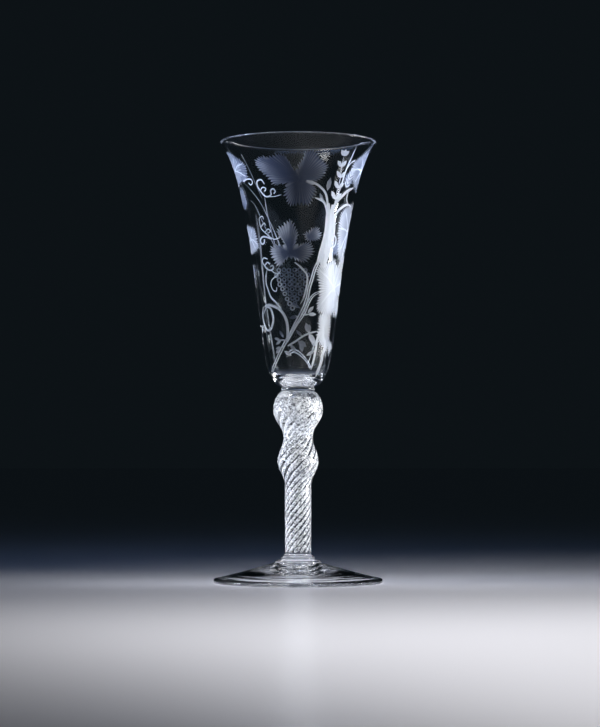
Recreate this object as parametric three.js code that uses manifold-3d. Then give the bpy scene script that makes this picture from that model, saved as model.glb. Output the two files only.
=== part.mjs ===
// A champagne glass of lead crystal: a tall bell-shaped bowl on a twice-knopped stem with an
// air twist, and a conical foot. The glassmaker gathers and shapes five pieces of hot glass and
// welds them end to end: foot, foot collar, stem, bowl collar, bowl. Nothing on the glass moves.
// Millimetres. +Z is up, and the origin is the centre of the circle that the foot stands on.
import * as THREE from "three";
import { mergeVertices } from "three/addons/utils/BufferGeometryUtils.js";
import Module from "manifold-3d";

// Heights of the five pieces, stacked from the table up
const FOOT_HEIGHT = 10.4;
const FOOT_COLLAR_HEIGHT = 3.0;
const STRAIGHT_STEM_LENGTH = 31.6;
const MID_KNOP_LENGTH = 22.4;
const SHOULDER_KNOP_LENGTH = 21.4;
const BOWL_COLLAR_HEIGHT = 2.0;
const BOWL_HEIGHT = 114.2;

// Foot: a shallow cone, hollow underneath so that only its edge touches the table
const FOOT_RADIUS = 39.2;
const FOOT_EDGE_HEIGHT = 1.9;
const FOOT_EDGE_ROUND = 0.8;
const REST_RING_WIDTH = 1.6;
const FOOT_WALL = 2.2;
const FOOT_TOP_SAG = 0.6;
const BOSS_RADIUS = 10.7;
const BOSS_STEP = 1.0;
const BOSS_ROUND = 1.6;
const HOLLOW_TOP_RADIUS = 9.5;
const HOLLOW_CROWN = 3.6;

// Pontil scar: where the finished glass was snapped off its iron, in the middle of the hollow
const PONTIL_RADIUS = 6.4;
const PONTIL_DEPTH = 1.3;
const PONTIL_DIMPLE = 0.5;

// Foot collar: the flared ring between the stem and the foot
const FOOT_COLLAR_RADIUS = 7.7;
const FOOT_COLLAR_BELLY_HEIGHT = 1.1;

// Stem: straight below, with a small knop at mid height and a larger one under the bowl
const STEM_RADIUS = 6.1;
const MID_KNOP_RADIUS = 9.5;
const MID_KNOP_PEAK = 11.3;
const WAIST_RADIUS = 6.8;
const SHOULDER_KNOP_RADIUS = 11.6;
const SHOULDER_KNOP_PEAK = 12.6;
const STEM_TOP_RADIUS = 7.45;
const SHOULDER_SLOPE = 1.0;

// Air twist: threads of trapped air that follow the stem's outline under a clear skin
const THREAD_COUNT = 12;
const THREAD_RADIUS = 0.55;
const THREAD_COVER = 1.35;
const THREAD_HELIX_ANGLE = 50;
const THREAD_TOP_GAP = 3.4;
const THREAD_SIDES = 5;
const THREAD_STEPS = 24;
const THREAD_OVERRUN = 0.8;

// Bowl collar: the short neck that welds the bowl to the stem
const BOWL_COLLAR_BULGE = 0.3;

// Bowl: a round bottom inside, a rounded belly, tall sides that flare to a fire-polished lip
const RIM_RADIUS = 36.4;
const RIM_WALL = 0.95;
const LIP_ROUND = 0.5;
const BELLY_RADIUS = 15.8;
const BELLY_HEIGHT = 16.1;
const BELLY_WALL = 2.1;
const BASE_THICKNESS = 2.5;
const BOTTOM_FULLNESS = 0.9;
const SIDE_LEAN = 4.0;
const SIDE_RISE = 27.5;
const FLARE_REACH = 12.2;
const FLARE_DROP = 15.1;

// How finely the round shapes are faceted
const ROUND_SEGMENTS = 48;
const CURVE_STEPS = 6;
const SIDE_STEPS = 11;
const SMALL_CURVE_STEPS = 3;
const SWELL_TENSION = 0.42;

const STEM_LENGTH = STRAIGHT_STEM_LENGTH + MID_KNOP_LENGTH + SHOULDER_KNOP_LENGTH;
const FOOT_COLLAR_BASE = FOOT_HEIGHT;
const STEM_BASE = FOOT_COLLAR_BASE + FOOT_COLLAR_HEIGHT;
const BOWL_COLLAR_BASE = STEM_BASE + STEM_LENGTH;
const BOWL_BASE = BOWL_COLLAR_BASE + BOWL_COLLAR_HEIGHT;

const wasm = await Module();
wasm.setup();

const point = (radius, height) => new THREE.Vector2(radius, height);

// An outline is drawn in radius and height, piece by piece. Each piece samples its own curve.
class Outline {
  constructor(radius, height) {
    this.points = [point(radius, height)];
  }

  get end() {
    return this.points[this.points.length - 1];
  }

  line(radius, height) {
    this.points.push(point(radius, height));
    return this;
  }

  bezier(handleOut, handleIn, end, steps) {
    const curve = new THREE.CubicBezierCurve(this.end, handleOut, handleIn, end);
    this.points.push(...curve.getPoints(steps).slice(1));
    return this;
  }

  // A rounded corner between the last point and an end point
  round(corner, end, steps = SMALL_CURVE_STEPS) {
    const curve = new THREE.QuadraticBezierCurve(this.end, corner, end);
    this.points.push(...curve.getPoints(steps).slice(1));
    return this;
  }

  // A swell or hollow between two places where the outline runs upright
  swell(radius, height, steps = CURVE_STEPS) {
    const { x, y } = this.end;
    const reach = SWELL_TENSION * (height - y);
    return this.bezier(point(x, y + reach), point(radius, height - reach), point(radius, height), steps);
  }
}

// Turns an outline about the Z axis. The outline runs from the bottom of the axis to its top.
function turned(outline) {
  return new THREE.LatheGeometry(outline.points, ROUND_SEGMENTS).rotateX(Math.PI / 2);
}

function solidFrom(geometry) {
  geometry.deleteAttribute("normal");
  geometry.deleteAttribute("uv");
  const merged = mergeVertices(geometry, 1e-4);
  const vertProperties = merged.attributes.position.array;
  const triVerts = new Uint32Array(merged.index.array);
  return new wasm.Manifold(new wasm.Mesh({ numProp: 3, vertProperties, triVerts }));
}

function geometryFrom(solid) {
  const { vertProperties, triVerts } = solid.getMesh();
  const geometry = new THREE.BufferGeometry();
  geometry.setAttribute("position", new THREE.BufferAttribute(vertProperties, 3));
  geometry.setIndex(new THREE.BufferAttribute(triVerts, 1));
  geometry.computeVertexNormals();
  return geometry;
}

function crystal(color, opacity) {
  return new THREE.MeshStandardMaterial({ color, roughness: 0.04, metalness: 0, transparent: true, opacity });
}

function piece(name, geometry, material, height) {
  const mesh = new THREE.Mesh(geometry, material);
  mesh.name = name;
  mesh.position.z = height;
  return mesh;
}

// The foot's outline runs from the pontil scar out along the hollow, round the edge and up to
// the boss that the foot collar is welded on.
function footOutline() {
  const ringOuter = FOOT_RADIUS - FOOT_EDGE_ROUND;
  const ringInner = ringOuter - REST_RING_WIDTH;
  const bossEdge = FOOT_HEIGHT - BOSS_STEP;
  const hollowTop = bossEdge - HOLLOW_CROWN;
  const scarFace = hollowTop - PONTIL_DEPTH;
  const middle = (BOSS_RADIUS + FOOT_RADIUS) / 2;
  const slopeMiddle = (bossEdge + FOOT_EDGE_HEIGHT) / 2 - FOOT_TOP_SAG;
  return new Outline(0, scarFace + PONTIL_DIMPLE)
    .bezier(
      point(PONTIL_RADIUS / 3, scarFace + PONTIL_DIMPLE),
      point(PONTIL_RADIUS / 2, scarFace),
      point(PONTIL_RADIUS, scarFace),
      SMALL_CURVE_STEPS,
    )
    .line(PONTIL_RADIUS, hollowTop)
    .line(HOLLOW_TOP_RADIUS, hollowTop)
    .round(point(middle, slopeMiddle - FOOT_WALL), point(ringInner, 0), CURVE_STEPS)
    .line(ringOuter, 0)
    .round(point(FOOT_RADIUS, 0), point(FOOT_RADIUS, FOOT_EDGE_HEIGHT / 2))
    .round(point(FOOT_RADIUS, FOOT_EDGE_HEIGHT), point(ringOuter, FOOT_EDGE_HEIGHT + FOOT_EDGE_ROUND / 4))
    .round(point(middle, slopeMiddle), point(BOSS_RADIUS, bossEdge), CURVE_STEPS)
    .round(point(BOSS_RADIUS, FOOT_HEIGHT), point(BOSS_RADIUS - BOSS_ROUND, FOOT_HEIGHT))
    .line(0, FOOT_HEIGHT);
}

function footCollarOutline() {
  const flare = (FOOT_COLLAR_HEIGHT - FOOT_COLLAR_BELLY_HEIGHT) / 2;
  return new Outline(0, 0)
    .line(FOOT_COLLAR_RADIUS, 0)
    .line(FOOT_COLLAR_RADIUS, FOOT_COLLAR_BELLY_HEIGHT)
    .bezier(
      point(FOOT_COLLAR_RADIUS, FOOT_COLLAR_BELLY_HEIGHT + flare),
      point(STEM_RADIUS, FOOT_COLLAR_HEIGHT - flare),
      point(STEM_RADIUS, FOOT_COLLAR_HEIGHT),
      CURVE_STEPS,
    )
    .line(0, FOOT_COLLAR_HEIGHT);
}

// The side of the stem, from its foot to its top, without the end faces
function stemSide() {
  const shoulderBase = STRAIGHT_STEM_LENGTH + MID_KNOP_LENGTH;
  const shoulderPeak = shoulderBase + SHOULDER_KNOP_PEAK;
  const shoulderRise = STEM_LENGTH - shoulderPeak;
  return new Outline(STEM_RADIUS, 0)
    .line(STEM_RADIUS, STRAIGHT_STEM_LENGTH)
    .swell(MID_KNOP_RADIUS, STRAIGHT_STEM_LENGTH + MID_KNOP_PEAK)
    .swell(WAIST_RADIUS, shoulderBase)
    .swell(SHOULDER_KNOP_RADIUS, shoulderPeak)
    .bezier(
      point(SHOULDER_KNOP_RADIUS, shoulderPeak + shoulderRise / 2),
      point((SHOULDER_KNOP_RADIUS + STEM_TOP_RADIUS) / 2, STEM_LENGTH - SHOULDER_SLOPE),
      point(STEM_TOP_RADIUS, STEM_LENGTH),
      CURVE_STEPS,
    );
}

// Where one air thread runs. It keeps one slope along the stem's side, so it turns faster where
// the stem is slim. Places along the side are measured by arc length from the stem's foot.
class AirThread extends THREE.Curve {
  constructor(side, startAngle) {
    super();
    const turnPerRadius = 1 / Math.tan(THREE.MathUtils.degToRad(THREAD_HELIX_ANGLE));
    const first = side[0];
    this.stations = [{ radius: first.x - THREAD_COVER, height: first.y - THREAD_OVERRUN, angle: startAngle, travel: 0 }];
    for (const spot of side) {
      const last = this.stations[this.stations.length - 1];
      const radius = spot.x - THREAD_COVER;
      const travel = Math.hypot(radius - last.radius, spot.y - last.height);
      const angle = last.angle + (turnPerRadius * travel * 2) / (radius + last.radius);
      this.stations.push({ radius, height: spot.y, angle, travel: last.travel + travel });
    }
  }

  getPoint(share, target = new THREE.Vector3()) {
    const total = this.stations[this.stations.length - 1].travel;
    const travel = Math.min(Math.max(share, 0), 1) * total;
    const next = Math.max(1, this.stations.findIndex((station) => station.travel >= travel));
    const [a, b] = [this.stations[next - 1], this.stations[next]];
    const blend = (travel - a.travel) / (b.travel - a.travel);
    const radius = THREE.MathUtils.lerp(a.radius, b.radius, blend);
    const angle = THREE.MathUtils.lerp(a.angle, b.angle, blend);
    const height = THREE.MathUtils.lerp(a.height, b.height, blend);
    return target.set(radius * Math.cos(angle), radius * Math.sin(angle), height);
  }
}

// The side sampled evenly, up to where the threads start under the stem's top
function threadSide(side) {
  const curve = new THREE.CurvePath();
  side.forEach((spot, i) => i && curve.add(new THREE.LineCurve(side[i - 1], spot)));
  return curve.getSpacedPoints(THREAD_STEPS * 4).filter((spot) => spot.y <= STEM_LENGTH - THREAD_TOP_GAP);
}

function airThreads(side) {
  const corners = [];
  for (let i = 0; i < THREAD_SIDES; i += 1) {
    const turn = (2 * Math.PI * i) / THREAD_SIDES;
    corners.push(point(THREAD_RADIUS * Math.cos(turn), THREAD_RADIUS * Math.sin(turn)));
  }
  const ring = new THREE.Shape(corners);
  const threads = [];
  for (let i = 0; i < THREAD_COUNT; i += 1) {
    const extrudePath = new AirThread(threadSide(side), (2 * Math.PI * i) / THREAD_COUNT);
    threads.push(solidFrom(new THREE.ExtrudeGeometry(ring, { steps: THREAD_STEPS, extrudePath })));
  }
  return threads;
}

// The stem is a solid cane. Each thread is a thin channel in it that ends in a closed tip under
// the shoulder and runs out at the stem's foot, where the weld to the foot collar seals it.
function stemGeometry() {
  const outline = stemSide();
  const side = [...outline.points];
  outline.points.unshift(point(0, 0));
  outline.line(0, STEM_LENGTH);
  const cane = solidFrom(turned(outline));
  return geometryFrom(airThreads(side).reduce((solid, thread) => solid.subtract(thread), cane));
}

function bowlCollarOutline() {
  const half = BOWL_COLLAR_HEIGHT / 2;
  const bulge = STEM_TOP_RADIUS + 2 * BOWL_COLLAR_BULGE;
  return new Outline(0, 0)
    .line(STEM_TOP_RADIUS, 0)
    .round(point(bulge, half), point(STEM_TOP_RADIUS, BOWL_COLLAR_HEIGHT), SMALL_CURVE_STEPS + 1)
    .line(0, BOWL_COLLAR_HEIGHT);
}

// The bowl's outline runs out under the base, up the outer wall, over the lip and down inside.
function bowlOutline() {
  const lean = SIDE_LEAN / SIDE_RISE;
  const bellyReach = BELLY_HEIGHT / 2;
  const bellyHandle = point(BELLY_RADIUS - lean * bellyReach, BELLY_HEIGHT - bellyReach);
  const baseHandle = point((STEM_TOP_RADIUS + BELLY_RADIUS) / 2, 0);
  const sideHandle = point(BELLY_RADIUS + SIDE_LEAN, BELLY_HEIGHT + SIDE_RISE);
  const flareHandle = point(RIM_RADIUS - FLARE_REACH, BOWL_HEIGHT - FLARE_DROP);
  const lipHeight = BOWL_HEIGHT - LIP_ROUND;
  const lipMiddle = point(RIM_RADIUS - RIM_WALL / 2, BOWL_HEIGHT);
  const innerRim = RIM_RADIUS - RIM_WALL;
  const innerBelly = BELLY_RADIUS - BELLY_WALL;
  const inward = (BELLY_WALL + RIM_WALL) / 2;
  return new Outline(0, 0)
    .line(STEM_TOP_RADIUS, 0)
    .bezier(baseHandle, bellyHandle, point(BELLY_RADIUS, BELLY_HEIGHT), CURVE_STEPS)
    .bezier(sideHandle, flareHandle, point(RIM_RADIUS, lipHeight), SIDE_STEPS)
    .round(point(RIM_RADIUS, BOWL_HEIGHT), lipMiddle, 2)
    .round(point(innerRim, BOWL_HEIGHT), point(innerRim, lipHeight), 2)
    .bezier(
      point(flareHandle.x - inward, flareHandle.y + RIM_WALL / 2),
      point(sideHandle.x - inward, sideHandle.y),
      point(innerBelly, BELLY_HEIGHT),
      SIDE_STEPS,
    )
    .bezier(
      point(innerBelly - lean * bellyReach, BELLY_HEIGHT - bellyReach),
      point(innerBelly * BOTTOM_FULLNESS, BASE_THICKNESS),
      point(0, BASE_THICKNESS),
      CURVE_STEPS,
    );
}

const clear = crystal(0xdfe6ec, 0.35);
const twisted = crystal(0xeef2f6, 0.5);

const glass = new THREE.Group();
glass.add(
  piece("foot", turned(footOutline()), clear, 0),
  piece("foot_collar", turned(footCollarOutline()), clear, FOOT_COLLAR_BASE),
  piece("stem", stemGeometry(), twisted, STEM_BASE),
  piece("bowl_collar", turned(bowlCollarOutline()), clear, BOWL_COLLAR_BASE),
  piece("bowl", turned(bowlOutline()), clear, BOWL_BASE),
);

export default glass;
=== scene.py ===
# A champagne glass of lead crystal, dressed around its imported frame: five pieces of hot glass
# welded end to end, an air twist wound inside the stem and a fruiting vine cut round the bowl.
import bmesh
import bpy
import math
import numpy as np
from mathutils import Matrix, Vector
from mathutils.geometry import delaunay_2d_cdt
from mathutils.kdtree import KDTree


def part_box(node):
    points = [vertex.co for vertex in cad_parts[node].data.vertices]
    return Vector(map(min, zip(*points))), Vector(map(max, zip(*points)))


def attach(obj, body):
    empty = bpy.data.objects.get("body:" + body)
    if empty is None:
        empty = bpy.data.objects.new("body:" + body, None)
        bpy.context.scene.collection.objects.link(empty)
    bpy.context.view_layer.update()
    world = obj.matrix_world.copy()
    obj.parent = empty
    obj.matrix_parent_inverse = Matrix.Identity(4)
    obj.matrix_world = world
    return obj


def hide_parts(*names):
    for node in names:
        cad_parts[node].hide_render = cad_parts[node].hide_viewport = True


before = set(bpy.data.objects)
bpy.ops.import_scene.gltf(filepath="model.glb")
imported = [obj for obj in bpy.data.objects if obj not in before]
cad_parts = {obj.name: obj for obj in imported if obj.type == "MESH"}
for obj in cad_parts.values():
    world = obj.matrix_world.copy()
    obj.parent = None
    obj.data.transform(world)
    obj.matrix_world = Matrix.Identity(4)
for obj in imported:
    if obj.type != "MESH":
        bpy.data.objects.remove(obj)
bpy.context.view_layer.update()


# The camera stands a little over a metre in front of the glass, just above its foot, and looks
# slightly up. Its axis passes a hair to the right of the glass.
PICTURE_HEIGHT_PX = 727
FOCAL_LENGTH_PX = 2410
HORIZON_ROW_PX = 447
CAMERA_DISTANCE = 1.118
CAMERA_HEIGHT = 0.0628
CAMERA_RIGHT = 0.0009
SENSOR_MM = 36.0
NEAREST_SEEN = 0.01
FARTHEST_SEEN = 50

camera_data = bpy.data.cameras.new("camera")
camera_data.sensor_fit = "AUTO"
camera_data.sensor_width = SENSOR_MM
camera_data.lens = FOCAL_LENGTH_PX * SENSOR_MM / PICTURE_HEIGHT_PX
camera_data.clip_start = NEAREST_SEEN
camera_data.clip_end = FARTHEST_SEEN
camera = bpy.data.objects.new("camera", camera_data)
pitch = math.atan((HORIZON_ROW_PX - PICTURE_HEIGHT_PX / 2) / FOCAL_LENGTH_PX)
camera.location = (CAMERA_RIGHT, -CAMERA_DISTANCE, CAMERA_HEIGHT)
camera.rotation_euler = (math.pi / 2 + pitch, 0, 0)
bpy.context.collection.objects.link(camera)
bpy.context.scene.camera = camera


# The stage is a pale, half glossy table in a dark room. A soft box low over the front of the
# table makes a pool of light that fades to dark behind the glass, and small hooded lamps at the
# sides make the cut and twisted glass shine.
MM = 0.001
FLOOR_SIZE = 12.0
FLOOR_GAP = 0.02 * MM
FLOOR_FINISH = {
    "Base Color": (0.80, 0.79, 0.83, 1),
    "Roughness": 0.42,
    "Coat Weight": 0.25,
    "Coat Roughness": 0.22,
}
ROOM_COLOUR = (0.0040, 0.0062, 0.0080, 1)
WHITE = (1, 1, 1)
COOL = (0.92, 0.96, 1.1)
COOLER = (0.80, 0.92, 1.3)
BLUE = (0.5, 0.8, 1.6)

# Each lamp: its name, its place, the spot it faces, its width and height, its watts, the spread
# of its hood in degrees, and its colour.
LAMPS = [
    ("pool_light", (0.28, -0.67, 0.36), (0.157, -0.365, 0), 0.39, 0.39, 0.66, 34, WHITE),
    ("front_light", (0.04, -0.32, 0.5), (0.04, -0.32, 0), 0.20, 0.20, 0.30, 90, WHITE),
    ("right_light", (0.27, 0, 0.07), (0, 0, 0.10), 0.16, 0.07, 0.022, 36, WHITE),
    ("right_stem_light", (0.26, -0.02, 0.06), (0, 0, 0.045), 0.12, 0.05, 0.05, 26, WHITE),
    ("right_bowl_light", (0.36, -0.02, 0.135), (0, 0, 0.155), 0.06, 0.07, 0.045, 22, WHITE),
    ("left_bowl_light", (-0.398, -0.035, 0.28), (0, 0, 0.19), 0.06, 0.06, 0.065, 20, COOLER),
    ("left_stem_light", (-0.30, -0.02, 0.08), (0, 0, 0.045), 0.05, 0.05, 0.045, 26, COOL),
    ("lip_light", (-0.33, -0.14, 0.80), (0, 0, 0.21), 0.15, 0.15, 0.05, 30, WHITE),
    ("top_light", (-0.03, 0.08, 0.42), (-0.03, 0, 0), 0.20, 0.20, 0.10, 180, BLUE),
]

bpy.context.scene.view_settings.view_transform = "Standard"
cycles = bpy.context.scene.cycles
cycles.max_bounces = 32
cycles.transmission_bounces = 32
cycles.glossy_bounces = 12
cycles.diffuse_bounces = 3
cycles.transparent_max_bounces = 24
cycles.sample_clamp_indirect = 8
cycles.blur_glossy = 0.2

world = bpy.data.worlds.new("room")
world.use_nodes = True
world.node_tree.nodes["Background"].inputs["Color"].default_value = ROOM_COLOUR
bpy.context.scene.world = world


def deselect_all():
    bpy.ops.object.select_all(action="DESELECT")


def set_inputs(node, values):
    """Sets a node's inputs, given by name or number, and returns the node."""
    for name, value in values.items():
        node.inputs[name].default_value = value
    return node


def shaded(name, values):
    """A new material, whose Principled shader has these values."""
    material = bpy.data.materials.new(name)
    material.use_nodes = True
    set_inputs(material.node_tree.nodes["Principled BSDF"], values)
    return material


deselect_all()
bpy.ops.mesh.primitive_plane_add(size=FLOOR_SIZE, location=(0, 0, -FLOOR_GAP))
floor = bpy.context.object
floor.name = "table_top"
floor.data.materials.append(shaded("pale_table_top", FLOOR_FINISH))


def soft_box(name, place, target, width, height, power, spread, colour):
    """A rectangular soft light that faces the target, with its width level and a hood's spread."""
    data = bpy.data.lights.new(name, "AREA")
    data.shape = "RECTANGLE"
    data.size = width
    data.size_y = height
    data.energy = power
    data.color = colour
    data.spread = math.radians(spread)
    light = bpy.data.objects.new(name, data)
    light.location = place
    light.rotation_euler = (Vector(target) - Vector(place)).to_track_quat("-Z", "Y").to_euler()
    bpy.context.collection.objects.link(light)


for lamp in LAMPS:
    soft_box(*lamp)


# The foot is spun out of one gather of clear crystal into a shallow cone. It is hollow
# underneath, with a ground pontil scar, and stands on a narrow ring.
ROUND_STEPS = 144
CURVE_STEPS = 24
EDGE_STEPS = 8
FOOT_EDGE_HEIGHT = 1.9 * MM
FOOT_EDGE_ROUND = 0.8 * MM
REST_RING_WIDTH = 1.6 * MM
FOOT_WALL = 2.2 * MM
FOOT_TOP_SAG = 0.6 * MM
BOSS_RADIUS = 10.7 * MM
BOSS_STEP = 1.0 * MM
BOSS_ROUND = 1.6 * MM
HOLLOW_TOP_RADIUS = 9.5 * MM
HOLLOW_CROWN = 3.6 * MM
PONTIL_RADIUS = 6.4 * MM
PONTIL_DEPTH = 1.3 * MM
FLAT_NORMAL = 0.999
WELD_REACH = 0.02 * MM
SHARP_ANGLE = 50
CRYSTAL_COLOUR = (0.982, 0.990, 0.988, 1)
CRYSTAL_IOR = 1.56
LAMP_LIGHT_PASSED = (0.93, 0.94, 0.95, 1)
CLEAR_SHEEN = 0.45
CLEAR_WAVE = 9 * MM
CLEAR_WAVE_HEIGHT = 0.02 * MM
FOOT_SHEEN = 0.6
SPUN_RING_WIDTH = 2.4 * MM
SPUN_RING_HEIGHT = 0.10 * MM
SPUN_RING_DETAIL = 2.0
SPUN_RING_TURNS = 1.2


def curve_points(start, corner, end, steps=CURVE_STEPS):
    """A rounded stretch of an outline: a quadratic curve from start to end, without its start."""
    shares = np.linspace(0, 1, steps + 1)[1:, None]
    start, corner, end = map(np.array, (start, corner, end))
    return list((1 - shares) ** 2 * start + 2 * shares * (1 - shares) * corner + shares**2 * end)


def bend_points(start, out, into, end, steps=CURVE_STEPS):
    """A cubic stretch of an outline between two handles, without its start."""
    shares = np.linspace(0, 1, steps + 1)[1:, None]
    start, out, into, end = map(np.array, (start, out, into, end))
    rest = 1 - shares
    points = rest**3 * start + 3 * rest**2 * shares * out
    return list(points + 3 * rest * shares**2 * into + shares**3 * end)


def add_node(tree, kind, values=None, **settings):
    """Adds a node to a node tree, with its own settings and its inputs' values."""
    node = tree.nodes.new(kind)
    for name, value in settings.items():
        setattr(node, name, value)
    return set_inputs(node, values or {})


def wire(tree, *wires):
    """Links nodes. Each wire is a node, its output, another node and its input."""
    for source, output, target, place in wires:
        tree.links.new(source.outputs[output], target.inputs[place])


def ripple_group():
    """The small waves of a worked or ground surface, as a normal for any of the glass materials."""
    group = bpy.data.node_groups.new("surface_ripple", "ShaderNodeTree")
    group.interface.new_socket("Place", in_out="INPUT", socket_type="NodeSocketVector")
    for name in ("Scale", "Detail", "Height", "Strength"):
        group.interface.new_socket(name, in_out="INPUT", socket_type="NodeSocketFloat")
    group.interface.new_socket("Normal", in_out="OUTPUT", socket_type="NodeSocketVector")
    given = add_node(group, "NodeGroupInput")
    noise = add_node(group, "ShaderNodeTexNoise")
    bump = add_node(group, "ShaderNodeBump")
    wire(
        group,
        (given, "Place", noise, "Vector"),
        (given, "Scale", noise, "Scale"),
        (given, "Detail", noise, "Detail"),
        (given, "Height", bump, "Distance"),
        (given, "Strength", bump, "Strength"),
        (noise, "Fac", bump, "Height"),
        (bump, "Normal", add_node(group, "NodeGroupOutput"), "Normal"),
    )
    return group


surface_ripple = ripple_group()


def add_ripple(tree, scale, height, detail=1.0, strength=1.0):
    """Places the ripple in a material, laid out in the object's own space."""
    values = {"Scale": scale, "Detail": detail, "Height": height, "Strength": strength}
    ripple = add_node(tree, "ShaderNodeGroup", node_tree=surface_ripple, name="ripple")
    set_inputs(ripple, values)
    wire(
        tree,
        (add_node(tree, "ShaderNodeTexCoord"), "Object", ripple, "Place"),
        (ripple, "Normal", tree.nodes["Principled BSDF"], "Normal"),
    )


def crystal(name, wave=CLEAR_WAVE, height=CLEAR_WAVE_HEIGHT, roughness=0.0, sheen=CLEAR_SHEEN):
    """Clear lead crystal. Lamp light passes straight through it, as it nearly does in real glass."""
    values = {
        "Base Color": CRYSTAL_COLOUR,
        "Roughness": roughness,
        "IOR": CRYSTAL_IOR,
        "Transmission Weight": 1.0,
        "Specular Tint": (sheen, sheen, sheen, 1),
    }
    material = shaded(name, values)
    tree = material.node_tree
    add_ripple(tree, 1 / wave, height)
    choice = add_node(tree, "ShaderNodeMixShader")
    passing = add_node(tree, "ShaderNodeBsdfTransparent", {"Color": LAMP_LIGHT_PASSED})
    wire(
        tree,
        (add_node(tree, "ShaderNodeLightPath"), "Is Shadow Ray", choice, "Fac"),
        (tree.nodes["Principled BSDF"], "BSDF", choice, 1),
        (passing, "BSDF", choice, 2),
        (choice, "Shader", tree.nodes["Material Output"], "Surface"),
    )
    return material


def spun_rings(material):
    """Swaps the even ripple of a crystal for the long ripples that spinning leaves round a foot."""
    tree = material.node_tree
    ripple = tree.nodes["ripple"]
    set_inputs(ripple, {"Scale": 1.0, "Detail": SPUN_RING_DETAIL, "Height": SPUN_RING_HEIGHT})
    level = add_node(tree, "ShaderNodeVectorMath", {1: (1, 1, 0)}, operation="MULTIPLY")
    reach = add_node(tree, "ShaderNodeVectorMath", operation="LENGTH")
    heading = add_node(tree, "ShaderNodeVectorMath", operation="NORMALIZE")
    turns = add_node(tree, "ShaderNodeVectorMath", {"Scale": SPUN_RING_TURNS}, operation="SCALE")
    steps = add_node(tree, "ShaderNodeMath", {1: 1 / SPUN_RING_WIDTH}, operation="MULTIPLY")
    rings = add_node(tree, "ShaderNodeCombineXYZ")
    total = add_node(tree, "ShaderNodeVectorMath", operation="ADD")
    wire(
        tree,
        (tree.nodes["Texture Coordinate"], "Object", level, 0),
        (level, "Vector", reach, 0),
        (level, "Vector", heading, 0),
        (heading, "Vector", turns, 0),
        (reach, "Value", steps, 0),
        (steps, "Value", rings, "Z"),
        (turns, "Vector", total, 0),
        (rings, "Vector", total, 1),
        (total, "Vector", ripple, "Place"),
    )


clear_crystal = crystal("clear_crystal")
fused_weld = shaded("fused_weld", {"Base Color": CRYSTAL_COLOUR, "Alpha": 0.0})


def turned_rows(outline, first=0):
    """The vertices, numbered from first, and the faces of an outline turned round the Z axis.

    The outline is (radius, height) points that run from below, round the outside and up.
    """
    angles = -math.pi + 2 * math.pi * np.arange(ROUND_STEPS) / ROUND_STEPS
    vertices = []
    starts = []
    for radius, height in outline:
        starts.append(first + len(vertices))
        if radius == 0:
            vertices.append((0, 0, height))
        else:
            vertices += [(radius * math.sin(turn), -radius * math.cos(turn), height) for turn in angles]
    faces = []
    for (low_radius, _), (high_radius, _), low, high in zip(outline, outline[1:], starts, starts[1:]):
        for i in range(ROUND_STEPS):
            after = (i + 1) % ROUND_STEPS
            if low_radius == 0:
                faces.append((low, high + after, high + i))
            elif high_radius == 0:
                faces.append((low + i, low + after, high))
            else:
                faces.append((low + i, low + after, high + after, high + i))
    return vertices, faces


def turned(name, outline):
    """A closed piece whose outline starts and ends on the Z axis."""
    mesh = bpy.data.meshes.new(name)
    vertices, faces = turned_rows(outline)
    # Each face starts one corner on, so that its diagonal runs against the turn of the air twist.
    mesh.from_pydata(vertices, [], [(*face[1:], face[0]) for face in faces])
    piece = bpy.data.objects.new(name, mesh)
    bpy.context.collection.objects.link(piece)
    return piece


def weld_faces(piece, heights):
    """Gives the flat faces where two pieces of glass have fused the weld's finish."""
    piece.data.materials.append(fused_weld)
    weld = len(piece.data.materials) - 1
    for face in piece.data.polygons:
        flat = abs(face.normal.z) > FLAT_NORMAL
        if flat and any(abs(face.center.z - height) < WELD_REACH for height in heights):
            face.material_index = weld


def settle(piece, node):
    """Smooths a finished piece and puts it in its CAD node's place on the glass."""
    piece.data.shade_smooth()
    piece.data.set_sharp_from_angle(angle=math.radians(SHARP_ANGLE))
    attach(piece, "root")
    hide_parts(node)


foot_low, foot_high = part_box("foot")
foot_radius = foot_high.x
foot_top = foot_high.z
ring_outer = foot_radius - FOOT_EDGE_ROUND
ring_inner = ring_outer - REST_RING_WIDTH
boss_edge = foot_top - BOSS_STEP
boss_flat = BOSS_RADIUS - BOSS_ROUND
hollow_top = boss_edge - HOLLOW_CROWN
scar_face = hollow_top - PONTIL_DEPTH
slope_radius = (BOSS_RADIUS + foot_radius) / 2
slope_height = (boss_edge + FOOT_EDGE_HEIGHT) / 2 - FOOT_TOP_SAG
edge_top = (ring_outer, FOOT_EDGE_HEIGHT + FOOT_EDGE_ROUND / 4)
edge_middle = (foot_radius, FOOT_EDGE_HEIGHT / 2)
foot_outline = [(0, scar_face), (PONTIL_RADIUS, scar_face), (PONTIL_RADIUS, hollow_top)]
foot_outline.append((HOLLOW_TOP_RADIUS, hollow_top))
foot_outline += curve_points(foot_outline[-1], (slope_radius, slope_height - FOOT_WALL), (ring_inner, 0))
foot_outline.append((ring_outer, 0))
foot_outline += curve_points(foot_outline[-1], (foot_radius, 0), edge_middle, EDGE_STEPS)
foot_outline += curve_points(foot_outline[-1], (foot_radius, FOOT_EDGE_HEIGHT), edge_top, EDGE_STEPS)
foot_outline += curve_points(foot_outline[-1], (slope_radius, slope_height), (BOSS_RADIUS, boss_edge))
foot_outline += curve_points(foot_outline[-1], (BOSS_RADIUS, foot_top), (boss_flat, foot_top), EDGE_STEPS)
foot_outline.append((0, foot_top))
foot = turned("crystal_foot", foot_outline)
spun_crystal = crystal("spun_crystal", sheen=FOOT_SHEEN)
spun_rings(spun_crystal)
foot.data.materials.append(spun_crystal)
weld_faces(foot, [foot_top])
settle(foot, "foot")


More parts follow.
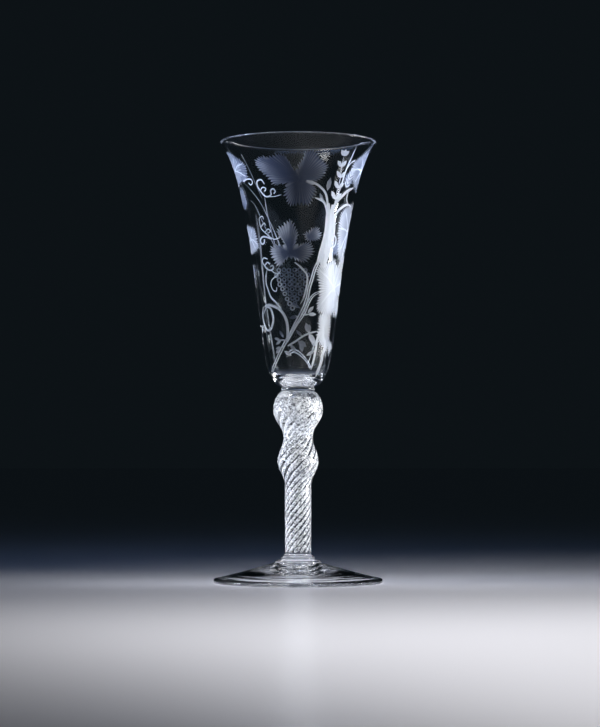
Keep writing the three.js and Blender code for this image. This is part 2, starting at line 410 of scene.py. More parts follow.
# The foot collar is a small ring of clear crystal that flares from the stem to the foot. It is
# dropped on hot, so both its flat faces are fused to their neighbours.
COLLAR_BELLY_HEIGHT = 1.1 * MM
STEM_RADIUS = 6.1 * MM

collar_low, collar_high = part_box("foot_collar")
collar_belly = collar_low.z + COLLAR_BELLY_HEIGHT
collar_flare = (collar_high.z - collar_belly) / 2
foot_collar_outline = [(0, collar_low.z), (collar_high.x, collar_low.z), (collar_high.x, collar_belly)]
foot_collar_outline += bend_points(
    foot_collar_outline[-1],
    (collar_high.x, collar_belly + collar_flare),
    (STEM_RADIUS, collar_high.z - collar_flare),
    (STEM_RADIUS, collar_high.z),
)
foot_collar_outline.append((0, collar_high.z))
foot_collar = turned("crystal_foot_collar", foot_collar_outline)
foot_collar.data.materials.append(clear_crystal)
weld_faces(foot_collar, [collar_low.z, collar_high.z])
settle(foot_collar, "foot_collar")


# The stem is drawn from one solid gather and tooled into two knops. Twelve tears of air pricked
# into the gather were stretched and wound with it, and run as silvery threads under its skin.
# Their silvery reflection is painted white on the threads' outer walls, and their inner walls
# carry painted shade.
STRAIGHT_STEM_LENGTH = 31.6 * MM
MID_KNOP_LENGTH = 22.4 * MM
MID_KNOP_RADIUS = 9.5 * MM
MID_KNOP_PEAK = 11.3 * MM
WAIST_RADIUS = 6.8 * MM
SHOULDER_KNOP_PEAK = 12.6 * MM
STEM_TOP_RADIUS = 7.45 * MM
SHOULDER_SLOPE = 1.0 * MM
SWELL_TENSION = 0.42
THREAD_COUNT = 12
THREAD_HALF_WIDTH = 0.70 * MM
THREAD_HALF_DEPTH = 0.50 * MM
THREAD_COVER = 1.25 * MM
THREAD_STEM_SLOPE = 52
THREAD_KNOP_SLOPE = 45
THREAD_TOP_GAP = 3.2 * MM
THREAD_FOOT_GAP = 0.25 * MM
THREAD_SIDES = 12
THREAD_STEP = 0.5 * MM
THREAD_POINT = 1.5 * MM
THREAD_UNEVENNESS = 0.24
LONG_WAVE = 2.9 * MM
SHORT_WAVE = 1.3 * MM
LONG_WAVE_SHIFT = 1.7
SHORT_WAVE_SHIFT = 2.4
TEAR_LENGTH = 5.0 * MM
TEAR_SWELL = 0.9
# The share of painted reflection on the threads' walls: at their sides, outside, inside near the shoulder
# knop and at their low ends. The rest is painted shade.
SIDE_PAINTED_REFLECTION = 0.6
OUTER_PAINTED_REFLECTION = 1.2
INNER_PAINTED_REFLECTION = 0.9
LOW_END_PAINTED_REFLECTION = 0.5
INNER_PAINTED_REFLECTION_RISE = (-3 * MM, 2 * MM)
INNER_PAINTED_REFLECTION_FALL = (14 * MM, 17 * MM)
THREAD_GRAIN = 0.8 * MM
THREAD_GRAIN_HEIGHT = 0.03 * MM
THREAD_ROUGHNESS = 0.25
THREAD_TRANSMISSION = 0.45
# The colours of the painted shade and of the painted reflection on the threads' walls.
THREAD_PAINTED_SHADE = (0.02, 0.025, 0.035, 1)
THREAD_PAINTED_REFLECTION = (0.96, 0.97, 0.98, 1)
FLECK_DETAIL = 3
FLECK_RANGE = {"From Min": 0.40, "From Max": 0.58, "To Min": 0.12}
TWIST_WAVE = 5 * MM
TWIST_WAVE_HEIGHT = 0.012 * MM


def swell_points(start, end):
    """A swell or waist of the stem's outline, upright at both its ends."""
    reach = SWELL_TENSION * (end[1] - start[1])
    return bend_points(start, (start[0], start[1] + reach), (end[0], end[1] - reach), end)


stem_low, stem_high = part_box("stem")
knop_base = stem_low.z + STRAIGHT_STEM_LENGTH
shoulder_base = knop_base + MID_KNOP_LENGTH
shoulder_peak = shoulder_base + SHOULDER_KNOP_PEAK
shoulder_radius = stem_high.x
stem_side = [(STEM_RADIUS, height) for height in np.linspace(stem_low.z, knop_base, CURVE_STEPS)]
stem_side += swell_points(stem_side[-1], (MID_KNOP_RADIUS, knop_base + MID_KNOP_PEAK))
stem_side += swell_points(stem_side[-1], (WAIST_RADIUS, shoulder_base))
stem_side += swell_points(stem_side[-1], (shoulder_radius, shoulder_peak))
stem_side += bend_points(
    stem_side[-1],
    (shoulder_radius, (shoulder_peak + stem_high.z) / 2),
    ((shoulder_radius + STEM_TOP_RADIUS) / 2, stem_high.z - SHOULDER_SLOPE),
    (STEM_TOP_RADIUS, stem_high.z),
)
stem = turned("twist_stem", [(0, stem_low.z), *stem_side, (0, stem_high.z)])


def run_along(radius, height):
    """How far along an outline each of its points lies."""
    return np.concatenate([[0], np.cumsum(np.hypot(np.diff(radius), np.diff(height)))])


def thread_line():
    """One air thread's route: radius, height, angle wound so far and length run so far."""
    side_radius, side_height = np.array(stem_side).T
    run = run_along(side_radius, side_height)
    at = np.arange(0, run[-1], THREAD_STEP)
    radius = np.interp(at, run, side_radius) - THREAD_COVER
    height = np.interp(at, run, side_height)
    reaches = [radius[0], MID_KNOP_RADIUS - THREAD_COVER]
    slope = np.interp(radius, reaches, [THREAD_STEM_SLOPE, THREAD_KNOP_SLOPE])
    angle = np.cumsum(THREAD_STEP / (np.tan(np.radians(slope)) * radius))
    kept = (height > stem_low.z + THREAD_FOOT_GAP) & (height < stem_high.z - THREAD_TOP_GAP)
    return radius[kept], height[kept], angle[kept], at[kept]


def add_air_threads(piece):
    """Adds the threads to the stem as closed hollows, whose faces look into the air inside."""
    radius, height, angle, run = thread_line()
    left = run[-1] - run
    tear = 1 + TEAR_SWELL * np.exp(-((left - TEAR_LENGTH / 2) ** 2) / (2 * (TEAR_LENGTH / 4) ** 2))
    closing = np.sqrt(np.clip(left / (TEAR_LENGTH / 3), 0, 1))
    opening = np.sqrt(np.clip((run - run[0]) / THREAD_POINT, 0, 1))
    size = tear * closing * opening
    # Round the foot of the shoulder knop, the threads' inner walls carry painted reflection too, instead of
    # painted shade.
    zone = shoulder_base + np.array([*INNER_PAINTED_REFLECTION_RISE, *INNER_PAINTED_REFLECTION_FALL])
    least_reflection = np.interp(height, zone, [0, INNER_PAINTED_REFLECTION, INNER_PAINTED_REFLECTION, 0])
    vertices = []
    faces = []
    painted_reflection_share = []
    for thread in range(THREAD_COUNT):
        turn = angle + 2 * math.pi * thread / THREAD_COUNT
        middle = np.stack([radius * np.cos(turn), radius * np.sin(turn), height], axis=1)
        along = np.gradient(middle, axis=0)
        along /= np.linalg.norm(along, axis=1)[:, None]
        outward = np.stack([np.cos(turn), np.sin(turn), np.zeros_like(turn)], axis=1)
        outward -= (outward * along).sum(1)[:, None] * along
        outward /= np.linalg.norm(outward, axis=1)[:, None]
        across = np.cross(along, outward)
        first = len(vertices)
        inner = slice(1, -1)
        rings = range(len(middle[inner]))
        short_wave = np.sin(run / SHORT_WAVE + SHORT_WAVE_SHIFT * thread)
        long_wave = np.sin(run / LONG_WAVE + LONG_WAVE_SHIFT * thread)
        broad = THREAD_HALF_WIDTH * radius / radius[0] * (1 + THREAD_UNEVENNESS * short_wave * long_wave)
        stations = zip(*(part[inner] for part in (middle, outward, across, size, broad, least_reflection)))
        # Each corner's share of painted reflection is full on the outer wall, less at the sides and none on
        # the inner wall. There the dark colour is painted shade.
        for spot, out, wide, scale, half, least_reflection_here in stations:
            for side in range(THREAD_SIDES):
                around = 2 * math.pi * side / THREAD_SIDES
                offset = half * math.cos(around) * wide + THREAD_HALF_DEPTH * math.sin(around) * out
                vertices.append(spot + scale * offset)
                painted_reflection_share.append(max(least_reflection_here, min(1.0, SIDE_PAINTED_REFLECTION + OUTER_PAINTED_REFLECTION * math.sin(around))))
        bottom, top = len(vertices), len(vertices) + 1
        vertices += [middle[0], middle[-1]]
        painted_reflection_share += [LOW_END_PAINTED_REFLECTION, 1.0]
        last = first + THREAD_SIDES * (len(rings) - 1)
        for side in range(THREAD_SIDES):
            after = (side + 1) % THREAD_SIDES
            faces.append((bottom, first + after, first + side))
            faces.append((top, last + side, last + after))
            for ring in rings[:-1]:
                near = first + ring * THREAD_SIDES
                far = near + THREAD_SIDES
                faces.append((near + side, near + after, far + after, far + side))
    mesh = bpy.data.meshes.new("air_threads")
    mesh.from_pydata(vertices, [], faces)
    mesh.attributes.new("painted_reflection", "FLOAT", "POINT").data.foreach_set("value", painted_reflection_share)
    threads = bpy.data.objects.new("air_threads", mesh)
    bpy.context.collection.objects.link(threads)
    deselect_all()
    threads.select_set(True)
    piece.select_set(True)
    bpy.context.view_layer.objects.active = piece
    solid = len(piece.data.polygons)
    bpy.ops.object.join()
    return solid


def painted_light_thread():
    """The wall of an air thread: painted reflection toward the skin, painted shade toward the heart, and
    flecked.
    """
    material = crystal("painted_light_thread", THREAD_GRAIN, THREAD_GRAIN_HEIGHT, THREAD_ROUGHNESS)
    tree = material.node_tree
    shader = set_inputs(tree.nodes["Principled BSDF"], {"Transmission Weight": THREAD_TRANSMISSION})
    painted_reflection_node = add_node(tree, "ShaderNodeAttribute", attribute_name="painted_reflection")
    tone = add_node(tree, "ShaderNodeMix", data_type="RGBA")
    set_inputs(tone, {"A": THREAD_PAINTED_SHADE, "B": THREAD_PAINTED_REFLECTION})
    fleck = add_node(tree, "ShaderNodeTexNoise", {"Scale": 1 / THREAD_GRAIN, "Detail": FLECK_DETAIL})
    fleck_range = add_node(tree, "ShaderNodeMapRange", FLECK_RANGE)
    flecked = add_node(tree, "ShaderNodeMath", operation="MULTIPLY")
    wire(
        tree,
        (tree.nodes["Texture Coordinate"], "Object", fleck, "Vector"),
        (fleck, "Fac", fleck_range, "Value"),
        (fleck_range, "Result", flecked, 0),
        (painted_reflection_node, "Fac", flecked, 1),
        (flecked, "Value", tone, "Factor"),
        (tone, "Result", shader, "Base Color"),
    )
    return material


solid_faces = add_air_threads(stem)
stem.data.materials.append(crystal("twist_crystal", TWIST_WAVE, TWIST_WAVE_HEIGHT))
weld_faces(stem, [stem_low.z, stem_high.z])
stem.data.materials.append(painted_light_thread())
for face in stem.data.polygons[solid_faces:]:
    face.material_index = len(stem.data.materials) - 1
settle(stem, "stem")


# The bowl collar is the short waist of clear glass where the bowl was welded to the shoulder
# knop. A bright line runs round it.
BOWL_COLLAR_BULGE = 0.3 * MM
BOWL_COLLAR_STEPS = 12

neck_low, neck_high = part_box("bowl_collar")
neck_swell = (STEM_TOP_RADIUS + 2 * BOWL_COLLAR_BULGE, (neck_low.z + neck_high.z) / 2)
neck_top = (STEM_TOP_RADIUS, neck_high.z)
bowl_collar_outline = [(0, neck_low.z), (STEM_TOP_RADIUS, neck_low.z)]
bowl_collar_outline += curve_points(bowl_collar_outline[-1], neck_swell, neck_top, BOWL_COLLAR_STEPS)
bowl_collar_outline.append((0, neck_high.z))
bowl_collar = turned("crystal_bowl_collar", bowl_collar_outline)
bowl_collar.data.materials.append(clear_crystal)
weld_faces(bowl_collar, [neck_low.z, neck_high.z])
settle(bowl_collar, "bowl_collar")


# The bowl is blown and drawn from the same crystal and fire polished at the lip. A copper wheel
# cut the fruiting vine into its outside, up to a quarter of a millimetre deep, and left it matt.
RIM_WALL = 0.95 * MM
LIP_ROUND = 0.5 * MM
LIP_DEPTH = 0.4 * MM
BELLY_RADIUS = 15.8 * MM
BELLY_HEIGHT = 16.1 * MM
BELLY_WALL = 2.1 * MM
BASE_THICKNESS = 2.5 * MM
BOTTOM_FULLNESS = 0.9
SIDE_LEAN = 4.0 * MM
SIDE_RISE = 27.5 * MM
FLARE_REACH = 12.2 * MM
FLARE_DROP = 15.1 * MM
SIDE_STEPS = 120
LIP_STEPS = 6
INSIDE_STEPS = 56
WALL_ROWS = 62
ENGRAVED_LOW = 94.0 * MM
ENGRAVED_HIGH = 202.5 * MM
CHART_RADIUS = 20 * MM
CLEAR_MARGIN = 0.55 * MM
SEAM_OVERLAP = 1 * MM
SEAM_GAP = 0.2 * MM
SMALLEST_FACET = 1e-12
ROUTE_SPLITS = 14
CUT_DEPTH = 0.20 * MM
DEEPEST_CUT = 0.25 * MM
TRUNK_DEPTH = 0.06 * MM
STEM_STEP = 1.0 * MM
VINE_STEP = 1.1 * MM
VEIN_WIDTH = 0.55
VEIN_RISE = 0.6
VEIN_START = 1.6
TAPER_AT = (0, 0.12, 0.8, 1)
LENS_AT = (0, 0.3, 0.65, 1)
LENS_SHAPE = (0, 0.85, 0.9, 0)
LENS_FACETS = [(0, 4, 6), (0, 6, 2), (4, 5, 7), (4, 7, 6), (6, 7, 3), (6, 3, 2), (5, 1, 7), (7, 1, 3)]
TOOTH_INSET = 0.8
TOOTH_REACH = 1.1
TOOTH_UNEVENNESS = 0.35
# How fast the reach of the teeth varies from one to the next, in radians.
TOOTH_TURNS = (2.4, 0.7)
TOOTH_TIP_WHITER = 0.1
TOOTH_BASE_DEPTH = 0.02 * MM
TOOTH_BASE_TONE = 0.6
LEAF_HEART_DEPTH = 0.12 * MM
VALLEY_WHITER = 0.07
RIDGE_DARKER = 0.3
# A leaf's rings from its teeth to its heart: the share of the way out, the depths of the valleys
# and of the ridges between them in mm, and how much of the border's tone the ring takes.
LEAF_RINGS = [
    (0.90, 0.22, 0.08, 0.85),
    (0.72, 0.17, 0.09, 0.35),
    (0.45, 0.15, 0.10, 0.0),
    (0.18, 0.12, 0.12, 0.0),
]
GRAPE_RADIUS = 1.22 * MM
GRAPE_SIDES = 12
GRAPE_DROP = 1.78
GRAPE_SPACING = 2.06
GRAPE_WOBBLE = 0.12
GRAPE_SIZE = 0.94
GRAPE_UNEVENNESS = 0.06
# How fast the places and sizes of the grapes vary from one to the next, in radians.
GRAPE_TURN = 2.3
GRAPE_ROW_TURN = 5.1
GRAPE_SIZE_TURN = 3.7
SIDE_GRAPE_WHITER = 0.25
# A grape's rings from its rim to its polished eye: the share of its radius and the depth in mm.
GRAPE_RINGS = [(1.0, 0.0), (0.80, 0.16), (0.46, 0.10)]
CURL_STEP = 0.6 * MM
CURL_DEPTH = 0.14 * MM
TENDRIL_STEP = 0.8 * MM
TENDRIL_WIDTH = 0.42 * MM
TENDRIL_DEPTH = 0.12 * MM
TENDRIL_LOOP_RADIUS = 1.5 * MM
TENDRIL_LOOP_POINTS = 17
TENDRIL_TURN_POINTS = 13
TENDRIL_TIGHTENING = 0.035
FROND_STEM_WIDTH = 0.4 * MM
FROND_STEM_DEPTH = 0.12 * MM
FROND_SPREAD = 42
FROND_TAPER = 0.3
FROND_TIP = 0.7
SPRIG_STEM_WIDTH = 0.5 * MM
SPRIG_STEM_DEPTH = 0.14 * MM
SPRIG_SPREAD = 48
SPRIG_LEAFLET_LENGTH = 3.0 * MM
SPRIG_LEAFLET_WIDTH = 1.5 * MM

bowl_low, bowl_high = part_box("bowl")
rim_radius = bowl_high.x
lean = SIDE_LEAN / SIDE_RISE
belly_reach = BELLY_HEIGHT / 2
belly = (BELLY_RADIUS, bowl_low.z + BELLY_HEIGHT)
belly_handle = (BELLY_RADIUS - lean * belly_reach, belly[1] - belly_reach)
side_handle = (BELLY_RADIUS + SIDE_LEAN, belly[1] + SIDE_RISE)
flare_handle = (rim_radius - FLARE_REACH, bowl_high.z - FLARE_DROP)
lip_height = bowl_high.z - LIP_ROUND
lip_top = (rim_radius - RIM_WALL / 2, bowl_high.z)
inner_rim = rim_radius - RIM_WALL
inner_belly = BELLY_RADIUS - BELLY_WALL
inward = (BELLY_WALL + RIM_WALL) / 2
base_handle = ((STEM_TOP_RADIUS + BELLY_RADIUS) / 2, bowl_low.z)
outer_wall = [(STEM_TOP_RADIUS, bowl_low.z)]
outer_wall += bend_points(outer_wall[-1], base_handle, belly_handle, belly)
outer_wall += bend_points(outer_wall[-1], side_handle, flare_handle, (rim_radius, lip_height), SIDE_STEPS)
inner_wall = curve_points(outer_wall[-1], (rim_radius, bowl_high.z), lip_top, LIP_STEPS)
inner_wall += curve_points(inner_wall[-1], (inner_rim, bowl_high.z), (inner_rim, lip_height), LIP_STEPS)
inner_wall += bend_points(
    inner_wall[-1],
    (flare_handle[0] - inward, flare_handle[1] + RIM_WALL / 2),
    (side_handle[0] - inward, side_handle[1]),
    (inner_belly, belly[1]),
    INSIDE_STEPS,
)
inner_wall += bend_points(
    inner_wall[-1],
    (inner_belly - lean * belly_reach, belly[1] - belly_reach),
    (inner_belly * BOTTOM_FULLNESS, bowl_low.z + BASE_THICKNESS),
    (0, bowl_low.z + BASE_THICKNESS),
)

# The wall laid flat: x is the angle round the bowl times a fixed radius, y the way up the wall.
wall_radius, wall_height = np.array(outer_wall).T
wall_run = run_along(wall_radius, wall_height)


def chart(angle, height):
    """The place on the flat wall of an angle from the front, in degrees, and a height in mm."""
    return np.array([math.radians(angle) * CHART_RADIUS, np.interp(height * MM, wall_height, wall_run)])


engraved_low, engraved_high = (float(chart(0, height / MM)[1]) for height in (ENGRAVED_LOW, ENGRAVED_HIGH))


def stretch(place):
    """How much wider the flat wall is than the real one at these places."""
    return CHART_RADIUS / np.interp(np.asarray(place)[..., 1], wall_run, wall_radius)


cut_points = []
cut_faces = []


def add_cut(points, faces):
    """Adds facets of a cut: points are x, y, depth and frost, which carries any painted light, and faces
    are turned to one side.
    """
    first = len(cut_points)
    cut_points.extend(tuple(point) for point in points)
    for a, b, c in faces:
        ax, ay = points[a][:2]
        twice = (points[b][0] - ax) * (points[c][1] - ay) - (points[c][0] - ax) * (points[b][1] - ay)
        if abs(twice) > SMALLEST_FACET:
            b, c = (b, c) if twice > 0 else (c, b)
            cut_faces.append((first + a, first + b, first + c))


def smooth_route(places, step, closed=False):
    """A smooth curve through places on the wall, as even steps."""
    places = np.array(places)
    if closed:
        padded = np.concatenate([places[-1:], places, places[:2]])
    else:
        padded = np.concatenate([2 * places[:1] - places[1:2], places, 2 * places[-1:] - places[-2:-1]])
    along = np.linspace(0, 1, ROUTE_SPLITS, endpoint=False)[:, None]
    spans = []
    for a, b, c, d in zip(padded, padded[1:], padded[2:], padded[3:]):
        square = (2 * a - 5 * b + 4 * c - d) * along**2
        cube = (3 * b - a - 3 * c + d) * along**3
        spans.append((2 * b + (c - a) * along + square + cube) / 2)
    dense = np.concatenate([*spans, padded[-2:-1]])
    moves = np.diff(dense, axis=0)
    run = np.concatenate([[0], np.cumsum(np.hypot(moves[:, 0] / stretch(dense[1:]), moves[:, 1]))])
    at = np.linspace(0, run[-1], max(3, round(run[-1] / step)) + 1)
    return np.stack([np.interp(at, run, dense[:, 0]), np.interp(at, run, dense[:, 1])], axis=1)


def drawn_route(places, step):
    """A smooth curve through angles and heights, as even steps on the wall."""
    return smooth_route([chart(*place) for place in places], step)


def sideways(route, closed=False):
    """A step of one metre to the left of the route, at each of its points."""
    if closed:
        along = np.roll(route, -1, axis=0) - np.roll(route, 1, axis=0)
    else:
        along = np.gradient(route, axis=0)
    wide = stretch(route)
    across = np.stack([-along[:, 1], along[:, 0] / wide], axis=1)
    across /= np.linalg.norm(across, axis=1)[:, None]
    across[:, 0] *= wide
    return across


def beside(place, across, up):
    """A place this far across and up the wall from another."""
    return np.array([place[0] + across * stretch(place), place[1] + up])


def toward(place, reach, heading):
    """A place this far from another on the wall, in this direction."""
    return beside(place, reach * math.cos(heading), reach * math.sin(heading))


def groove(route, width, depth=CUT_DEPTH, start=0.6, end=0.2, frost=1.0):
    """One pass of the wheel along a route, tapering toward both ends."""
    count = len(route)
    half = width / 2 * np.interp(np.linspace(0, 1, count), TAPER_AT, [start, 1, 1, end])
    side = sideways(route) * half[:, None]
    deep = depth * half / (width / 2)
    points = [(x, y, 0, frost) for x, y in route + side]
    points += [(x, y, low, frost) for (x, y), low in zip(route, deep)]
    points += [(x, y, 0, frost) for x, y in route - side]
    faces = []
    for i in range(count - 1):
        for row in (0, count):
            here = row + i
            faces += [(here, here + 1, here + count), (here + 1, here + count + 1, here + count)]
    add_cut(points, faces)


def stem_groove(width, places, depth=CUT_DEPTH, **looks):
    """A single groove, this many mm wide, through angles and heights."""
    groove(drawn_route(places, STEM_STEP), width * MM, depth, **looks)


def vine(places, width=0.62, gap=0.36, frost=1.0):
    """A woody stem: two grooves side by side, with a line of clear glass between them, in mm."""
    route = drawn_route(places, VINE_STEP)
    side = sideways(route) * (width * MM + gap * MM) / 2
    groove(route + side, width * MM, frost=frost)
    groove(route - side, width * MM, frost=frost)


def lens_cut(tail, tip, width, frost=0.9):
    """A short pointed stroke of the wheel from tail to tip, in places on the wall."""
    tail, tip = np.array(tail), np.array(tip)
    route = tail + (tip - tail) * np.array(LENS_AT)[:, None]
    side = sideways(route) * (width / 2 * np.array(LENS_SHAPE))[:, None]
    left, right = route + side, route - side
    points = [(*place, 0, frost) for place in (route[0], route[3], left[1], left[2], right[1], right[2])]
    points += [(*place, CUT_DEPTH, frost) for place in (route[1], route[2])]
    add_cut(points, LENS_FACETS)


def leaf(angle, height, outline, size=1.0, turn=0.0, **looks):
    """A vine leaf whose outline is given as (across, up) in mm about its heart, with its tip up."""
    heart = chart(angle, height)
    cos, sin = math.cos(math.radians(turn)), math.sin(math.radians(turn))
    rim = []
    for across, up in outline:
        turned_across = size * (across * cos - up * sin) * MM
        turned_up = size * (across * sin + up * cos) * MM
        rim.append(beside(heart, turned_across, turned_up))
    toothed(heart, rim, **looks)


def side_leaf(angle, height, places, **looks):
    """A vine leaf whose outline is given as angles and heights."""
    toothed(chart(angle, height), [chart(*place) for place in places], **looks)


def toothed(heart, rim, tooth=1.5, matt=0.45, left=0.3, right=0.1, middle=0.38):
    """Cuts a leaf with the wheel's teeth round it, from its rim, counterclockwise, to its heart.

    Its teeth are given in mm. Its middle is cut to one tone, and its left and right borders are
    made whiter by these shares, as painted light from the lamps at the sides.
    """
    tooth = tooth * MM
    edge = smooth_route(rim, tooth, closed=True)[:-1]
    count = len(edge)
    inward = sideways(edge, closed=True)
    facing = inward[:, 0] / stretch(edge)
    # Painted light: the borders that face the lamps at the left and right are made whiter by the left and
    # right shares, on top of the border's frost.
    white = np.clip(matt + left * np.maximum(facing, 0) + right * np.maximum(-facing, 0), 0, 1)
    edge = edge + TOOTH_INSET * tooth * inward
    outward = -(inward + np.roll(inward, -1, axis=0)) / 2
    middles = (edge + np.roll(edge, -1, axis=0)) / 2
    from_heart = middles - heart
    from_heart /= np.hypot(from_heart[:, 0] / stretch(middles), from_heart[:, 1])[:, None]
    uneven = [np.sin(turn * np.arange(count)) for turn in TOOTH_TURNS]
    reach = tooth * (TOOTH_REACH + TOOTH_UNEVENNESS * uneven[0] * uneven[1])
    tips = middles + (outward + from_heart) / 2 * reach[:, None]
    points = [(*tip, 0, min(1.0, tone + TOOTH_TIP_WHITER)) for tip, tone in zip(tips, white)]
    points += [(*spot, TOOTH_BASE_DEPTH, TOOTH_BASE_TONE * tone) for spot, tone in zip(edge, white)]
    for share, valley, ridge, near in LEAF_RINGS:
        tones = middle + (white - middle) * near
        valleys = zip(heart + share * (middles - heart), tones)
        ridges = zip(heart + share * (edge - heart), tones)
        points += [(*spot, valley * MM, min(1.0, tone + VALLEY_WHITER)) for spot, tone in valleys]
        points += [(*spot, ridge * MM, tone * (1 - RIDGE_DARKER * near)) for spot, tone in ridges]
    points.append((*heart, LEAF_HEART_DEPTH, middle))
    add_cut(points, leaf_facets(count))


def leaf_facets(count):
    """The facets of a leaf with this many teeth: tips, then edge, then each ring, then the heart."""
    faces = []
    below = 2 * count
    last = below * len(LEAF_RINGS)
    heart = below * (len(LEAF_RINGS) + 1)
    for i in range(count):
        after = (i + 1) % count
        edge_a, edge_b = count + i, count + after
        valley, ridge_a, ridge_b = below + i, 3 * count + i, 3 * count + after
        faces += [(i, edge_a, valley), (i, valley, edge_b)]
        faces += [(edge_a, ridge_a, valley), (edge_b, valley, ridge_b)]
        for ring in range(len(LEAF_RINGS) - 1):
            low = below + below * ring + i
            high = 3 * count + below * ring
            faces += [(low, high + i, high + below + i), (low, high + below + i, low + below)]
            faces.append((low, low + below, high + below + after))
            faces.append((low, high + below + after, high + after))
        faces += [(last + i, last + count + i, heart), (last + i, heart, last + count + after)]
    return faces


def grape(place, radius, frost):
    """One grape: a matt ring round a small polished eye."""
    points = []
    for share, depth in GRAPE_RINGS:
        for side in range(GRAPE_SIDES):
            spot = toward(place, share * radius, 2 * math.pi * side / GRAPE_SIDES)
            points.append((*spot, depth * MM, frost))
    faces = []
    for ring in range(len(GRAPE_RINGS) - 1):
        for side in range(GRAPE_SIDES):
            after = (side + 1) % GRAPE_SIDES
            outer, inner = ring * GRAPE_SIDES, (ring + 1) * GRAPE_SIDES
            faces.append((outer + side, outer + after, inner + side))
            faces.append((outer + after, inner + after, inner + side))
    add_cut(points, faces)


def bunch(angle, height, rows, frost):
    """A bunch of grapes that hangs from a place, with this many grapes in each row."""
    top = chart(angle, height)
    drop = GRAPE_DROP * GRAPE_RADIUS
    for row, count in enumerate(rows):
        for i in range(count):
            wobble = GRAPE_WOBBLE * GRAPE_RADIUS * math.sin(GRAPE_ROW_TURN * row + GRAPE_TURN * i)
            across = (i - (count - 1) / 2) * GRAPE_SPACING * GRAPE_RADIUS + wobble
            size = GRAPE_SIZE + GRAPE_UNEVENNESS * math.sin(GRAPE_SIZE_TURN * i + row)
            whiter = SIDE_GRAPE_WHITER if i == 0 else 0.0
            grape(beside(top, across, -row * drop + wobble), GRAPE_RADIUS * size, frost + whiter)


def leaflet(tail, tip, width, frost):
    """One pointed stroke, this many mm wide, between two angles and heights."""
    lens_cut(chart(*tail), chart(*tip), width * MM, frost)


def curl(width, places):
    """A white curl of tendril, this many mm wide, through angles and heights, cut lightly."""
    groove(drawn_route(places, CURL_STEP), width * MM, CURL_DEPTH, start=0.6, end=0.8)


def heading_of(step, place):
    """The direction on the wall of a step on the chart, taken at a place."""
    return math.atan2(step[1], step[0] / stretch(place))


def tendril(places):
    """A thin curling tendril that ends in a loop to its right."""
    route = drawn_route(places, TENDRIL_STEP)
    groove(route, TENDRIL_WIDTH, TENDRIL_DEPTH, start=0.5, end=1)
    aim = heading_of(route[-1] - route[-2], route[-1])
    centre = toward(route[-1], TENDRIL_LOOP_RADIUS, aim - math.pi / 2)
    loop = []
    for step in range(TENDRIL_LOOP_POINTS):
        radius = TENDRIL_LOOP_RADIUS * (1 - TENDRIL_TIGHTENING * step)
        loop.append(toward(centre, radius, aim + math.pi / 2 - step * 2 * math.pi / TENDRIL_TURN_POINTS))
    groove(np.array(loop), TENDRIL_WIDTH, TENDRIL_DEPTH, start=1, end=0.4)


def frond(places, length=4.8, width=2.2, spacing=5.0):
    """A feathery spray: a thin stem with pointed leaflets on both sides and one at its tip, in mm."""
    route = drawn_route(places, spacing * MM)
    groove(route, FROND_STEM_WIDTH, FROND_STEM_DEPTH)
    count = len(route)
    for i in range(count):
        before, after = route[max(i - 1, 0)], route[min(i + 1, count - 1)]
        heading = heading_of(after - before, route[i])
        reach = length * MM * (1 - FROND_TAPER * i / count)
        for turn in (-FROND_SPREAD, FROND_SPREAD):
            lens_cut(route[i], toward(route[i], reach, heading + math.radians(turn)), width * MM)
    lens_cut(route[-1], toward(route[-1], length * MM * FROND_TIP, heading), width * MM)


def sprig(places):
    """A short side shoot: a thin stem with three leaflets fanned at its end."""
    route = drawn_route(places, STEM_STEP)
    groove(route, SPRIG_STEM_WIDTH, SPRIG_STEM_DEPTH, start=1)
    heading = heading_of(route[-1] - route[-2], route[-1])
    for turn in (-SPRIG_SPREAD, 0, SPRIG_SPREAD):
        tip = toward(route[-1], SPRIG_LEAFLET_LENGTH, heading + math.radians(turn))
        lens_cut(route[-1], tip, SPRIG_LEAFLET_WIDTH)


# The vine's leaves, drawn in mm about each heart with the leaf's tip up, and cut turned to suit.
BROAD_LEAF = [
    (-20, 6.5), (-18, 3.5), (-15.5, 1.5), (-13.5, -1.5), (-11, -3), (-8.5, -2.2), (-6.5, -2), (-8, -4.5),
    (-7.5, -7), (-6.5, -10.5), (-4, -12), (-1.5, -11.5), (1.5, -11), (3.5, -12), (6, -10), (7.5, -6.5),
    (8, -3.5), (6, -1.5), (8.5, -0.5), (10.5, 1), (12, 4), (12.5, 6.5), (10.5, 9), (8, 11), (6, 13.5),
    (3.5, 14), (1.5, 13), (0.5, 10), (-1, 7.5), (-2, 4.5), (-4, 8.5), (-6, 11.5), (-9, 12.5), (-11.5, 11.5),
    (-14.5, 11.5), (-18, 11.5), (-20.5, 9),
]
THREE_LOBED_LEAF = [
    (-0.5, 15), (-2.5, 13.5), (-4.5, 12), (-6, 9.5), (-4, 6), (-2.5, 3), (-4, 4.5), (-6, 4.5), (-9, 3.5),
    (-10, 1.5), (-9, -1.5), (-7.5, -4.5), (-5, -6.5), (-3, -5), (-1.5, -3), (0.5, -2.5), (3, -3.5),
    (6, -4.5), (8.5, -3), (10.5, -1), (11, 2), (10, 4.5), (7.5, 5.5), (5, 5), (3, 3.5), (4, 7), (4, 10),
    (3, 12), (2, 14), (1, 16),
]
YOUNG_LEAF = [
    (6, 0.5), (5, 3.5), (3.5, 5), (1, 4.5), (-0.5, 3), (-2.5, 2), (-1.5, -1.5), (1.5, -2), (4, -1.5),
]

